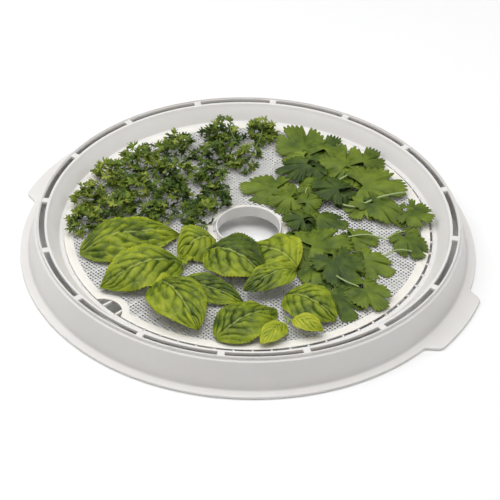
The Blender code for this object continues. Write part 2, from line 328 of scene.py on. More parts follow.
def screen_plastic():
    """Soft cream plastic, slightly waxy, with a matt moulded surface."""
    paint = Paint("screen_cream")
    cloud = paint.grain(35.0, 4.0, 0.6)
    fine = paint.grain(1400.0, 2.0)
    colour = paint.ramp(cloud, ((0.25, (0.84, 0.79, 0.71)), (0.75, (0.90, 0.86, 0.79))))
    paint.bump(fine, 0.15, 0.0002)
    return paint.finish(colour, 0.45 + 0.12 * cloud, **LETS_LIGHT_IN)


def strand_plastic():
    """The screen plastic painted paler for the thin strands: painted light, standing in for the light
    that comes through them.
    """
    paint = Paint("strand_painted_light")
    cloud = paint.grain(300.0, 3.0)
    # Paler than the screen border: painted light for the light that passes through the thin strands.
    colour = paint.ramp(cloud, ((0.3, (0.90, 0.87, 0.81)), (0.7, (0.95, 0.925, 0.875))))
    paint.bump(cloud, 0.2, 0.0002)
    return paint.finish(colour, 0.38 + 0.15 * cloud, **LETS_LIGHT_IN)


def basil_skin():
    """Satin blistered leaf: fine pale midrib, yellow-green margin, painted shade in the hollows and
    painted light on the crowns, both carried by the tone attribute.
    """
    paint = Paint("basil_skin")
    across = paint.uv()[1]
    tone = paint.attribute("tone")
    offset = paint.maths("ABSOLUTE", across * 2.0 - 1.0)
    midrib = 1.0 - paint.band(offset, 0.010, 0.034)
    web = 1.0 - paint.band(paint.cells(520.0), 0.02, 0.14)
    mottle = paint.grain(240.0, 4.0, 0.6)
    shade = paint.maths("ADD", tone, mottle * 0.24 - 0.12, clamp=True)
    colour = paint.ramp(shade, (
        (0.0, (0.016, 0.036, 0.002)),
        (0.28, (0.070, 0.115, 0.004)),
        (0.55, (0.228, 0.292, 0.009)),
        (0.80, (0.380, 0.430, 0.016)),
        (1.0, (0.480, 0.500, 0.045)),
    ))
    colour = paint.blend(web * 0.10, colour, (0.32, 0.39, 0.05))
    colour = paint.blend(midrib * 0.55, colour, (0.46, 0.52, 0.13))
    paint.bump(web * -0.4 + mottle * 0.6, 0.4, 0.0006)
    rough = 0.40 + 0.18 * mottle
    return paint.finish(colour, rough, Specular_IOR_Level=0.32)


def cilantro_skin():
    """Satin mid-green leaf with fine pale veins that fan out from the stalk."""
    paint = Paint("cilantro_skin")
    reach, turn = paint.uv()
    # The tone attribute carries painted light and shade from the blade's ruffles.
    tone = paint.attribute("tone")
    spoke = paint.maths("ABSOLUTE", paint.maths("FRACT", turn * 9.0) - 0.5)
    vein = paint.band(spoke, 0.46, 0.498) * (1.0 - paint.band(reach, 0.55, 0.9))
    mottle = paint.grain(230.0, 4.0, 0.6)
    web = 1.0 - paint.band(paint.cells(620.0), 0.02, 0.12)
    shade = paint.maths("ADD", tone, mottle * 0.26 - 0.13, clamp=True)
    colour = paint.ramp(shade, (
        (0.0, (0.010, 0.024, 0.003)),
        (0.30, (0.042, 0.078, 0.006)),
        (0.62, (0.132, 0.190, 0.013)),
        (1.0, (0.255, 0.330, 0.034)),
    ))
    colour = paint.blend(vein * 0.20, colour, (0.30, 0.36, 0.10))
    paint.bump(web * -0.3 + mottle * 0.6, 0.35, 0.0005)
    return paint.finish(colour, 0.46 + 0.16 * mottle, Specular_IOR_Level=0.32)


def parsley_skin():
    """Dark curly leaf, lighter towards its tips; through the tone attribute its upper curls get
    painted light and its lower curls painted shade.
    """
    paint = Paint("parsley_skin")
    reach = paint.uv()[0]
    tone = paint.attribute("tone")
    mottle = paint.grain(420.0, 3.0, 0.6)
    tip = paint.band(reach, 0.55, 1.0)
    shade = paint.maths("ADD", tone, mottle * 0.26 - 0.13 + tip * 0.10, clamp=True)
    colour = paint.ramp(shade, (
        (0.0, (0.008, 0.024, 0.002)),
        (0.35, (0.034, 0.072, 0.006)),
        (0.65, (0.125, 0.190, 0.015)),
        (1.0, (0.300, 0.350, 0.045)),
    ))
    paint.bump(mottle, 0.3, 0.0004)
    return paint.finish(colour, 0.44 + 0.18 * mottle, Specular_IOR_Level=0.35)


def stalk_skin(name, pale, deep):
    """A fine ribbed green stalk."""
    paint = Paint(name)
    mottle = paint.grain(300.0, 3.0)
    colour = paint.blend(mottle, deep, pale)
    paint.bump(mottle, 0.25, 0.0003)
    return paint.finish(colour, 0.40 + 0.1 * mottle)


def floor_paper():
    """A pale studio floor."""
    paint = Paint("floor_paper")
    cloud = paint.grain(3.0, 2.0)
    colour = paint.ramp(cloud, ((0.3, (0.93, 0.93, 0.93)), (0.7, (0.95, 0.95, 0.95))))
    return paint.finish(colour, 0.8)


# Mesh helpers

def as_object(name, form, materials, angle=40):
    """Turns a bmesh into an object at the origin, smooth with sharp edges kept."""
    mesh = bpy.data.meshes.new(name)
    form.to_mesh(mesh)
    form.free()
    for material in materials:
        mesh.materials.append(material)
    mesh.shade_smooth()
    mesh.set_sharp_from_angle(angle=radians(angle))
    thing = bpy.data.objects.new(name, mesh)
    bpy.context.scene.collection.objects.link(thing)
    return thing


def show(thing, body, slot, *replaced):
    """Rides on a body and stands for the plain nodes. The slot argument is not used."""
    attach(thing, body)
    if replaced:
        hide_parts(*replaced)
    return thing


def eased(outline, width):
    """A closed outline of (r, z) points with each corner rounded over about that width."""
    rounded = []
    count = len(outline)
    for k in range(count):
        before, here, after = (Vector(outline[(k + j) % count]) for j in (-1, 0, 1))
        back = min(width, (before - here).length * 0.4)
        ahead = min(width, (after - here).length * 0.4)
        start = here + (before - here).normalized() * back
        end = here + (after - here).normalized() * ahead
        turn = (here - before).angle(after - here)
        pieces = 1 if turn < radians(12) else 3
        if pieces == 1:
            rounded.append(here)
            continue
        for j in range(pieces + 1):
            t = j / pieces
            rounded.append(start * (1 - t) ** 2 + here * 2 * t * (1 - t) + end * t * t)
    return rounded


def spin_outline(form, outline, steps):
    """A full turn of a closed (r, z) outline about Z."""
    corners = [form.verts.new((r, 0.0, z)) for r, z in outline]
    edges = [form.edges.new((a, b)) for a, b in zip(corners, corners[1:] + corners[:1])]
    bmesh.ops.spin(form, geom=corners + edges, cent=(0, 0, 0), axis=(0, 0, 1), angle=tau,
                   steps=steps, use_merge=True, use_duplicate=False)
    bmesh.ops.remove_doubles(form, verts=form.verts, dist=1e-7)
    bmesh.ops.recalc_face_normals(form, faces=form.faces)


# Tray

def wall_curve():
    """The inner wall from its foot to its top, slightly hollowed."""
    count = 10
    curve = []
    for k in range(1, count):
        share = k / count
        hollow = 0.05 * sin(pi * share)
        r = FOOT_R + (WALL_TOP_R - FOOT_R) * (share - hollow)
        curve.append((r, FLOOR_Z + (PLATE_Z - EDGE - FLOOR_Z) * share))
    return curve


def tray_outline():
    outside = [
        (LIP_IN_R, PLATE_Z),
        (LIP_IN_R, RIM_Z),
        (RIM_R, RIM_Z),
        (RIM_R, SHOULDER_Z),
        (SHOULDER_R, SHOULDER_Z - EDGE),
        (SKIRT_FOOT_R, FLANGE_T + 2 * EDGE),
        (SKIRT_FOOT_R + 2 * EDGE, FLANGE_T),
        (FLANGE_R, FLANGE_T),
        (FLANGE_R, 0.0),
    ]
    back = [
        (SKIRT_FOOT_R - WALL_T, 0.0),
        (SHOULDER_R - WALL_T, SHOULDER_Z - WALL_T),
        (SLOT_OUT_R + EDGE, PLATE_UNDER_Z),
        (SLOT_IN_R - EDGE, PLATE_UNDER_Z),
        (FOOT_R + WALL_T + EDGE, FLOOR_Z - EDGE),
        (FOOT_R + WALL_T, FLOOR_Z - RIB_T),
        (LEDGE_IN_R, FLOOR_Z - RIB_T),
        (LEDGE_IN_R, FLOOR_Z),
        (FOOT_R, FLOOR_Z),
    ]
    return eased(outside + back + wall_curve() + [(WALL_TOP_R, PLATE_Z)], 0.45 * MM)


def add_slot_rings(form):
    """Cuts the plate of the rim along both edges of the air slots."""
    for radius in (SLOT_IN_R, SLOT_OUT_R):
        for edge in list(form.edges):
            a, b = edge.verts
            ra, rb = a.co.x, b.co.x
            flat = abs(a.co.z - b.co.z) < 1e-6 and max(a.co.z, b.co.z) > PLATE_UNDER_Z - 1e-6
            if flat and min(ra, rb) < radius < max(ra, rb):
                near = a if ra < rb else b
                bmesh.utils.edge_split(edge, near, (radius - min(ra, rb)) / abs(ra - rb))


def spin_tray(form):
    corners = [form.verts.new((r, 0.0, z)) for r, z in tray_outline()]
    for a, b in zip(corners, corners[1:] + corners[:1]):
        form.edges.new((a, b))
    add_slot_rings(form)
    steps = SLOT_COUNT * STEPS_PER_SLOT
    bmesh.ops.spin(form, geom=form.verts[:] + form.edges[:], cent=(0, 0, 0), axis=(0, 0, 1),
                   angle=tau, steps=steps, use_merge=True, use_duplicate=False)
    bmesh.ops.remove_doubles(form, verts=form.verts, dist=1e-7)
    bmesh.ops.recalc_face_normals(form, faces=form.faces)


def cut_slots(form):
    """Opens the air slots between the bridges and walls them in."""
    pitch = tau / SLOT_COUNT
    half_bridge = BRIDGE_STEPS / 2 * pitch / STEPS_PER_SLOT
    bmesh.ops.rotate(form, verts=form.verts, cent=(0, 0, 0),
                     matrix=Matrix.Rotation(half_bridge, 3, "Z"))
    gone = []
    for face in form.faces:
        middle = face.calc_center_median()
        angle = atan2(middle.y, middle.x) % pitch
        in_band = SLOT_IN_R < hypot(middle.x, middle.y) < SLOT_OUT_R
        if in_band and abs(face.normal.z) > 0.9 and half_bridge < angle < pitch - half_bridge:
            gone.append(face)
    bmesh.ops.delete(form, geom=gone, context="FACES")
    open_edges = {k: [] for k in range(SLOT_COUNT)}
    for edge in form.edges:
        if edge.is_boundary:
            middle = (edge.verts[0].co + edge.verts[1].co) / 2
            open_edges[int((atan2(middle.y, middle.x) % tau) / pitch)].append(edge)
    rims = []
    for edges in open_edges.values():
        rims += [e for e in edges if min(v.co.z for v in e.verts) > PLATE_Z - EDGE]
        bmesh.ops.bridge_loops(form, edges=edges)
    bmesh.ops.recalc_face_normals(form, faces=form.faces)
    bmesh.ops.bevel(form, geom=rims, offset=0.35 * MM, offset_type="OFFSET", segments=2,
                    profile=0.5, affect="EDGES", material=-1, clamp_overlap=True)


def pull_tabs(form):
    """Draws the edge of the flange out into the two finger tabs."""
    reach = TAB_HALF_ANGLE + TAB_BLEND_ANGLE
    for corner in form.verts:
        r = hypot(corner.co.x, corner.co.y)
        if r < FLANGE_R - 1.2 * MM:
            continue
        angle = atan2(corner.co.y, corner.co.x)
        off = min(abs(angle), pi - abs(angle))
        rise = smooth((reach - off) / TAB_BLEND_ANGLE) * (TAB_R - FLANGE_R)
        corner.co.x *= (r + rise) / r
        corner.co.y *= (r + rise) / r


def build_tray_shell(plastic):
    form = bmesh.new()
    spin_tray(form)
    cut_slots(form)
    pull_tabs(form)
    return show(as_object("tray_shell", form, [plastic], 50), "tray", "tray_plastic", "tray")


def add_rib(form, inner, outer, angle):
    """One floor rib with eased top edges."""
    made = bmesh.ops.create_cube(form, size=1.0)["verts"]
    bmesh.ops.scale(form, verts=made, vec=(outer - inner, RIB_W, RIB_T))
    middle = ((inner + outer) / 2, 0, FLOOR_Z - RIB_T / 2)
    bmesh.ops.translate(form, verts=made, vec=middle)
    top = [e for e in {e for v in made for e in v.link_edges}
           if all(v.co.z > FLOOR_Z - 1e-6 for v in e.verts) and abs(
               e.verts[0].co.x - e.verts[1].co.x) > RIB_W]
    eased_edges = bmesh.ops.bevel(form, geom=top, offset=0.4 * MM, offset_type="OFFSET",
                                  segments=2, profile=0.5, affect="EDGES", material=-1)
    moved = {v for v in made if v.is_valid} | set(eased_edges["verts"])
    bmesh.ops.rotate(form, verts=list(moved), cent=(0, 0, 0),
                     matrix=Matrix.Rotation(angle, 3, "Z"))


def build_tray_floor(plastic):
    """Ribs, rings and the collar round the centre hole."""
    form = bmesh.new()
    for radius in GRID_RADII[1:3]:
        ring = [(radius + RING_W / 2, FLOOR_Z), (radius + RING_W / 2, FLOOR_Z - RIB_T),
                (radius - RING_W / 2, FLOOR_Z - RIB_T), (radius - RING_W / 2, FLOOR_Z)]
        spin_outline(form, eased(ring, 0.4 * MM), 192)
    collar = [(COLLAR_R, COLLAR_TOP_Z), (COLLAR_R, FLOOR_Z), (COLLAR_R + RING_W, FLOOR_Z),
              (COLLAR_R + RING_W, FLOOR_Z - RIB_T), (COLLAR_R, FLOOR_Z - RIB_T),
              (COLLAR_R, COLLAR_FOOT_Z), (COLLAR_BORE_R, COLLAR_FOOT_Z),
              (COLLAR_BORE_R, COLLAR_TOP_Z)]
    spin_outline(form, eased(collar, 0.6 * MM), 144)
    for outer, inner, count in zip(GRID_RADII, GRID_RADII[1:], GRID_COUNTS):
        for k in range(count):
            add_rib(form, inner, outer, (k + 0.5) * tau / count)
    return show(as_object("tray_floor", form, [plastic], 50), "tray", "tray_plastic")


# Mesh screen

def notched(radius, bite, angle):
    """The radius of a circle at an angle, less the round bite of the finger notch."""
    off = (angle - NOTCH_ANGLE + pi) % tau - pi
    side = NOTCH_CENTRE_R * sin(off)
    if cos(off) > 0 and abs(side) < bite:
        return min(radius, NOTCH_CENTRE_R * cos(off) - sqrt(bite * bite - side * side))
    return radius


def build_screen_borders(plastic):
    form = bmesh.new()
    outer = [(SCREEN_R, SCREEN_TOP), (SCREEN_R, SCREEN_Z), (BORDER_IN_R, SCREEN_Z),
             (BORDER_IN_R, SCREEN_TOP)]
    spin_outline(form, eased(outer, 0.4 * MM), 720)
    for corner in form.verts:
        r = hypot(corner.co.x, corner.co.y)
        angle = atan2(corner.co.y, corner.co.x)
        share = (r - BORDER_IN_R) / (SCREEN_R - BORDER_IN_R)
        inside = notched(BORDER_IN_R, NOTCH_BORDER_R, angle)
        outside = notched(SCREEN_R, NOTCH_R, angle)
        wanted = inside + (outside - inside) * share
        corner.co.x *= wanted / r
        corner.co.y *= wanted / r
    eye = [(EYE_R, SCREEN_TOP), (EYE_R, SCREEN_Z), (EYE_HOLE_R, SCREEN_Z),
           (EYE_HOLE_R, SCREEN_TOP)]
    spin_outline(form, eased(eye, 0.4 * MM), 144)
    bmesh.ops.translate(form, verts=form.verts, vec=(SCREEN_X, SCREEN_Y, 0))
    thing = as_object("screen_borders", form, [plastic], 50)
    return show(thing, "mesh_screen", "screen_plastic", "mesh_screen")


def runs_of_strand(offset, angle):
    """The stretches of a straight strand that lie on the screen between its borders."""
    edge = BORDER_IN_R + 1.0 * MM
    if abs(offset) >= edge:
        return []
    half = sqrt(edge * edge - offset * offset)
    runs = [(-half, half)]
    along = Vector((cos(angle), sin(angle)))
    across = Vector((-along.y, along.x))
    eye_edge = EYE_R - 1.0 * MM
    notch_edge = NOTCH_BORDER_R - 1.0 * MM
    notch = Vector((NOTCH_CENTRE_R * cos(NOTCH_ANGLE), NOTCH_CENTRE_R * sin(NOTCH_ANGLE)))
    for centre, radius in ((Vector((0, 0)), eye_edge), (notch, notch_edge)):
        miss = offset - centre.dot(across)
        if abs(miss) < radius:
            reach = sqrt(radius * radius - miss * miss)
            low = centre.dot(along) - reach
            high = centre.dot(along) + reach
            kept = []
            for start, end in runs:
                kept += [(start, min(end, low)), (max(start, high), end)]
            runs = [(a, b) for a, b in kept if b - a > 1.0 * MM]
    return runs


def build_screen_mesh(plastic):
    """Two layers of parallel strands that cross and sink a little into each other."""
    form = bmesh.new()
    middle = (SCREEN_Z + SCREEN_TOP) / 2
    for layer, angle in enumerate(STRAND_ANGLES):
        height = middle + (layer - 0.5) * STRAND_T * 0.55
        count = int(BORDER_IN_R / STRAND_PITCH) + 1
        for k in range(-count, count + 1):
            offset = (k + 0.5) * STRAND_PITCH
            for start, end in runs_of_strand(offset, angle):
                made = bmesh.ops.create_cone(form, cap_ends=True, segments=8, radius1=0.5,
                                             radius2=0.5, depth=1.0)["verts"]
                bmesh.ops.rotate(form, verts=made, cent=(0, 0, 0),
                                 matrix=Matrix.Rotation(pi / 2, 3, "Y"))
                bmesh.ops.scale(form, verts=made, vec=(end - start, STRAND_W, STRAND_T))
                bmesh.ops.translate(form, verts=made, vec=((start + end) / 2, offset, height))
                bmesh.ops.rotate(form, verts=made, cent=(0, 0, 0),
                                 matrix=Matrix.Rotation(angle, 3, "Z"))
    bmesh.ops.translate(form, verts=form.verts, vec=(SCREEN_X, SCREEN_Y, 0))
    return show(as_object("screen_mesh", form, [plastic], 60), "mesh_screen", "screen_plastic")


# Leaves

class Sheet:
    """A thin leaf surface: a grid whose points are placed by a rule, with its own chart and tone."""

    def __init__(self, columns, rows):
        self.form = bmesh.new()
        bmesh.ops.create_grid(self.form, x_segments=columns, y_segments=rows, size=0.5)
        self.chart = self.form.loops.layers.uv.new("leaf")
        self.tone = self.form.verts.layers.float.new("tone")

    def place(self, rule):
        """rule(u, v) gives a point and a tone; u runs 0 to 1 along, v runs 0 to 1 across."""
        where = {corner: (corner.co.x + 0.5, corner.co.y + 0.5) for corner in self.form.verts}
        for face in self.form.faces:
            for loop in face.loops:
                loop[self.chart].uv = where[loop.vert]
        for corner, (u, v) in where.items():
            corner.co, corner[self.tone] = rule(u, v)
        bmesh.ops.remove_doubles(self.form, verts=self.form.verts, dist=2e-6)
        bmesh.ops.dissolve_degenerate(self.form, dist=1e-7, edges=self.form.edges)

    def upward(self):
        """Turns the sheet so that its faces look up."""
        bmesh.ops.recalc_face_normals(self.form, faces=self.form.faces)
        if sum(face.normal.z * face.calc_area() for face in self.form.faces) < 0:
            bmesh.ops.reverse_faces(self.form, faces=self.form.faces)


def thicken(thing, thickness):
    wall = thing.modifiers.new("blade", "SOLIDIFY")
    wall.thickness = thickness
    wall.offset = -1.0
    return thing


def ruffle(x, y, seed, scale):
    """Smooth noise between about -1 and 1."""
    return noise.noise(Vector((x * scale, y * scale, seed * 7.3)))


def lie_of(node, heading):
    """Stalk end, direction along, direction across, length, width and floor of a flat stand-in."""
    turn = radians(heading)
    along = Vector((cos(turn), sin(turn), 0))
    across = Vector((-sin(turn), cos(turn), 0))
    corners = [v.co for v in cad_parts[node].data.vertices]
    ways = [c.dot(along) for c in corners]
    sides = [c.dot(across) for c in corners]
    start = along * min(ways) + across * (min(sides) + max(sides)) / 2
    start.z = min(c.z for c in corners)
    return start, along, across, max(ways) - min(ways), max(sides) - min(sides)


def bell(x, centre, width):
    """A smooth bump of height 1."""
    return exp(-(((x - centre) / width) ** 2))


def basil_half_width(u):
    """Broad near the stalk, drawn out to a point at the tip."""
    return sin(pi * min(1.0, max(0.0, u)) ** 0.82) ** 0.70


def add_basil_blade(leaf, skin):
    start, along, across, length, width = lie_of(leaf.node, leaf.heading)
    floor = SCREEN_TOP + 0.35 * MM
    share = width / (42 * MM)
    far = 1 if cos(radians(leaf.heading) - CAMERA_AZIMUTH) > 0 else -1
    veins = 5.4 + 0.5 * sin(leaf.seed)

    def rule(u, v):
        side = 2 * v - 1
        off = abs(side)
        x = u * length
        half = width / 2 * 1.06 * basil_half_width(u)
        half *= 1 + 0.025 * sin(23 * tau * u + leaf.seed) * off ** 4
        y = side * half
        warp = ruffle(x, y, leaf.seed + 20, 70.0) + 0.3 * ruffle(x, y, leaf.seed + 25, 190.0)
        phase = (u ** 0.9 - 0.46 * off ** 1.25) * veins + 0.50 * warp + 0.37 * (side > 0)
        gap = abs(phase % 1.0 - 0.5)
        depth = 0.75 + 1.3 * ruffle(x, y, leaf.seed + 80, 55.0)
        valley = bell(gap, 0.5, 0.085) * (1 - off ** 3) * smooth(off / 0.08) * max(0.1, depth)
        pillow = (1 - (gap / 0.5) ** 2) * (1 - 0.6 * off ** 2)
        cross = ruffle(x, y, leaf.seed + 60, 170.0) * (0.4 + 0.6 * smooth(off / 0.3))
        crease = abs(ruffle(x, y, leaf.seed + 90, 130.0))
        wave = ruffle(x, y, leaf.seed, 42.0)
        z = leaf.arch * MM * sin(pi * u ** 0.9) * 0.9
        z += leaf.dome * MM * (1 - off ** 2.2) * basil_half_width(u)
        z += leaf.rise * MM * (1 + far * side) / 2 * sin(pi * min(1, 0.15 + 0.8 * u))
        z += (0.8 * pillow - 1.9 * valley) * MM * share * smooth(u / 0.12)
        z += (0.9 * cross + 1.5 * min(0.3, crease) + 2.4 * wave) * MM * share
        z -= 1.2 * MM * share * bell(off, 0, 0.07) * smooth(u / 0.06)
        fold = bell(side, -0.42, 0.10) + 0.8 * bell(side, -0.74, 0.08) + 0.7 * bell(side, 0.45, 0.09)
        z -= leaf.pleat * MM * fold * sin(pi * u)
        z += 0.9 * MM * share * off ** 4 * sin(tau * (2.3 * u + leaf.seed * 0.37) + side)
        point = start + along * x + across * y
        point.z = start.z + z
        if point.z < floor + 1 * MM:
            point.z = floor + 1 * MM * exp((point.z - floor - 1 * MM) / MM)
        # The far half's tone is shifted by far_tone: painted shade for a half that faces away from
        # the light, painted light where the value is above zero.
        tone = leaf.tone + leaf.far_tone * smooth(0.5 + 2.5 * far * side)
        # Painted light and shade: bulges and ruffle crests lighter; valleys, creases, folds and the
        # groove beside the midrib darker. The lighter margin is the leaf's own colour.
        tone += 0.08 * pillow - 0.26 * valley + 0.30 * wave + 0.24 * cross + 0.18 * off ** 6
        tone -= 0.16 * bell(crease, 0, 0.05) + 0.10 * leaf.pleat * fold
        tone -= 0.18 * bell(off, 0.07, 0.05)
        return point, min(1.0, max(0.0, tone))

    sheet = Sheet(110, 64)
    sheet.place(rule)
    sheet.upward()
    thing = as_object(leaf.node.replace("leaf", "blade"), sheet.form, [skin], 180)
    return thicken(thing, 0.35 * MM)


def add_tube(form, points, thick, thin):
    """A round stalk through the points that tapers from thick to thin."""
    sides = 8
    ring = bmesh.ops.create_circle(form, cap_ends=False, segments=sides, radius=1.0)["verts"]
    loop = list({e for v in ring for e in v.link_edges})
    count = len(points)
    centres = [Vector((0, 0, 0))]
    size = 1.0
    way = Vector((0, 0, 1))
    bmesh.ops.contextual_create(form, geom=loop)
    for k, point in enumerate(points):
        point = Vector(point)
        ahead = Vector(points[min(count - 1, k + 1)]) - Vector(points[max(0, k - 1)])
        ahead.normalize()
        wanted = thick + (thin - thick) * k / (count - 1)
        if k:
            made = bmesh.ops.extrude_edge_only(form, edges=loop)["geom"]
            ring = [g for g in made if isinstance(g, bmesh.types.BMVert)]
            loop = [g for g in made if isinstance(g, bmesh.types.BMEdge)
                    and all(v in ring for v in g.verts)]
        bend = way.rotation_difference(ahead).to_matrix().to_4x4()
        pose = (Matrix.Translation(point) @ bend @ Matrix.Scale(wanted / size, 4)
                @ Matrix.Translation(-centres[-1]))
        bmesh.ops.transform(form, matrix=pose, verts=ring)
        centres.append(point)
        size = wanted
        way = ahead
    bmesh.ops.contextual_create(form, geom=loop)


def curved(start, end, sag, steps=6):
    """Points from start to end that bow by the vector sag."""
    start, end, sag = Vector(start), Vector(end), Vector(sag)
    return [start.lerp(end, k / steps) + sag * sin(pi * k / steps) for k in range(steps + 1)]


def build_stalks(name, body, slot, skin, runs):
    """Fine stalks, each from x, y, z to x, y, z in millimetres with a bow to the side."""
    form = bmesh.new()
    for start, end, bow, thick in runs:
        start, end = Vector(start) * MM, Vector(end) * MM
        flat = end - start
        sag = Vector((-flat.y, flat.x, 0)).normalized() * bow * MM + Vector((0, 0, abs(bow) * MM / 2))
        add_tube(form, curved(start, end, sag), thick * MM, thick * 0.7 * MM)
    bmesh.ops.recalc_face_normals(form, faces=form.faces)
    return show(as_object(name, form, [skin], 60), body, slot)


BASIL_STALKS = (
    ((-20, -62, 21), (-24, -68, 22), 0.6, 0.9),
    ((79, -80, 21), (80, -87, 21), 0.4, 0.7),
    ((79, -80, 21), (86, -83, 21.5), 0.4, 0.7),
    ((79, -80, 21), (74, -78, 19.5), 0.5, 0.8),
)

# Young leaves round a growing tip: x, y, z, heading in degrees, length and width in millimetres
BUD_LEAVES = (
    (-20, -62, 21, 50, 8, 5, 0.66),
    (-20, -62, 21, -40, 7, 4.5, 0.60),
    (-21, -63, 22, 150, 6, 4, 0.55),
)


def build_bud(skin):
    """The small tip beside the second basil leaf."""
    for number, (x, y, z, heading, length, width, shade) in enumerate(BUD_LEAVES, 1):
        turn = radians(heading)
        along = Vector((cos(turn), sin(turn), 0))
        across = Vector((-sin(turn), cos(turn), 0))
        root = Vector((x, y, z)) * MM

        def rule(u, v):
            side = 2 * v - 1
            rise = (2.5 * sin(pi * u * 0.8) - 1.2 * side * side) * MM
            half = width / 2 * MM * basil_half_width(u) * side
            ripple = ruffle(u, side, number, 2.0)
            point = root + along * (u * length * MM) + across * half
            point.z += rise + 0.3 * MM * ripple
            # The tone follows the ripple's height: painted light where it rises, painted shade where
            # it sinks. It is also darker along the middle.
            return point, shade + 0.2 * ripple - 0.2 * bell(side, 0, 0.2)

        sheet = Sheet(14, 10)
        sheet.place(rule)
        sheet.upward()
        thing = as_object(f"basil_bud_{number}", sheet.form, [skin], 180)
        show(thicken(thing, 0.3 * MM), "basil", "basil_green")


def build_basil(skin, stalk):
    for leaf in BASIL:
        show(add_basil_blade(leaf, skin), "basil", "basil_green", leaf.node)
    build_bud(skin)
    build_stalks("basil_stalks", "basil", "basil_green", stalk, BASIL_STALKS)


def cilantro_reach(angle, seed):
    """How far the outline goes from the stalk at an angle, as a share of the full reach."""
    share = angle / radians(118)
    reach = 1 - 0.20 * share * share
    wobble = radians(4) * sin(seed * 2.3)
    for place, depth, width in ((-88, 0.26, 5), (-31, 0.33, 5), (31, 0.33, 5), (88, 0.26, 5)):
        reach -= depth * bell(angle, radians(place) + wobble, radians(width))
    tooth = abs((angle / radians(9.5) + seed * 0.3) % 1.0 - 0.5) * 2
    return reach * (1 - 0.12 * tooth ** 2)


def cilantro_sheet(number, hub, heading, reach, spread, tone, base):
    """One flat blade about its stalk end. Its far side lies a little higher than its near side."""
    draw = random.Random(100 + number)
    turn = radians(heading)
    along = Vector((cos(turn), sin(turn), 0))
    across = Vector((-sin(turn), cos(turn), 0))
    floor = SCREEN_TOP + 0.35 * MM
    droop = draw.uniform(0.5, 2.5) * MM
    lift = draw.uniform(0.5, 3.0) * MM
    uphill = Vector((-sin(CAMERA_AZIMUTH), cos(CAMERA_AZIMUTH), 0))
    slope = draw.uniform(0.02, 0.16)
    spin = draw.uniform(0, tau)
    fan = radians(118)

    def rule(u, v):
        angle = (2 * v - 1) * fan
        r = reach * cilantro_reach(angle, number) * u
        flat = along * (r * cos(angle)) + across * (r * sin(angle) * spread)
        dip = bell(angle, radians(-31), radians(7)) + bell(angle, radians(31), radians(7))
        wave = ruffle(hub.x + flat.x, hub.y + flat.y, number, 65.0)
        cross = ruffle(flat.x, flat.y, number + 30, 210.0)
        z = lift * (1 - u * u) - droop * u ** 3 + (flat.dot(uphill) + reach * 0.6) * slope
        z += 0.8 * MM * u * u * sin(3.0 * angle + spin) - 0.4 * MM * u * dip
        z += (2.2 * wave + 0.5 * cross) * MM
        point = hub + flat
        point.z = base + 0.8 * MM + z
        if point.z < floor + 1 * MM:
            point.z = floor + 1 * MM * exp((point.z - floor - 1 * MM) / MM)
        # The tone follows the blade's ruffles: painted light on raised parts, painted shade in low
        # parts and dips. The outer edge is lighter.
        shade = tone + 0.24 * wave + 0.14 * cross - 0.05 * dip * u + 0.08 * u ** 4
        return point, min(1.0, max(0.0, shade))

    sheet = Sheet(14, 168)
    sheet.place(rule)
    sheet.upward()
    return sheet.form


def add_cilantro_leaf(number, node, heading, skin):
    """The broad middle blade and two smaller ones beside its stalk."""
    start, along, across, length, width = lie_of(node, heading)
    draw = random.Random(300 + number)
    tone = CILANTRO_TONES[number - 1]
    hub = start + along * length * 0.20
    reach = 0.80 * length * 1.06
    spread = width / 2 * 1.18 / (reach * 0.90)
    blades = [cilantro_sheet(number, hub, heading, reach, spread, tone, start.z)]
    for side in (-1, 1):
        root = start + along * length * draw.uniform(-0.02, 0.10) + across * side * 2 * MM
        size = draw.uniform(0.34, 0.48) * max(length, width)
        way = heading + side * draw.uniform(70, 105)
        shade = tone + draw.uniform(-0.14, 0.10)
        blades.append(cilantro_sheet(number + 40 + 30 * side, root, way, size, 0.85, shade,
                                     start.z - 0.8 * MM))
    joined = blades[0]
    for blade in blades[1:]:
        mesh = bpy.data.meshes.new("blade")
        blade.to_mesh(mesh)
        blade.free()
        joined.from_mesh(mesh)
        bpy.data.meshes.remove(mesh)
    thing = as_object(node.replace("leaf", "blades"), joined, [skin], 180)
    return thicken(thing, 0.3 * MM)


def build_cilantro(skin, stalk):
    for number, heading in enumerate(CILANTRO_HEADINGS, 1):
        node = f"cilantro_leaf_{number:02d}"
        show(add_cilantro_leaf(number, node, heading, skin), "cilantro", "cilantro_green", node)
    build_stalks("cilantro_stalks", "cilantro", "cilantro_green", stalk, CILANTRO_STALKS)


# Outline of half a frilled leaflet, as shares of its reach
FRILL = (0.66, 1.0, 0.52, 0.98, 0.34, 0.92, 1.10, 0.58)


def curl_shape(variant):
    """One frilled parsley leaflet of a few dozen faces, about 1 unit across."""
    draw = random.Random(500 + variant)
    waves = draw.choice((3.5, 4.5, 5.0))
    start = draw.uniform(0, tau)
    frill = FRILL + (1.12,) + FRILL[::-1]
    columns = len(frill) - 1

    def rule(u, v):
        angle = (2 * v - 1) * radians(115)
        column = round(v * columns)
        r = u * (1 - (1 - frill[column]) * u)
        z = 0.20 * u * sin(waves * angle + start) + 0.10 * u * (column % 2) + 0.15 * u * (1 - u)
        return Vector((r * cos(angle), r * sin(angle), z)), 0.5

    sheet = Sheet(3, columns)
    sheet.place(rule)
    mesh = bpy.data.meshes.new(f"curl_{variant}")
    sheet.form.to_mesh(mesh)
    sheet.form.free()
    return mesh


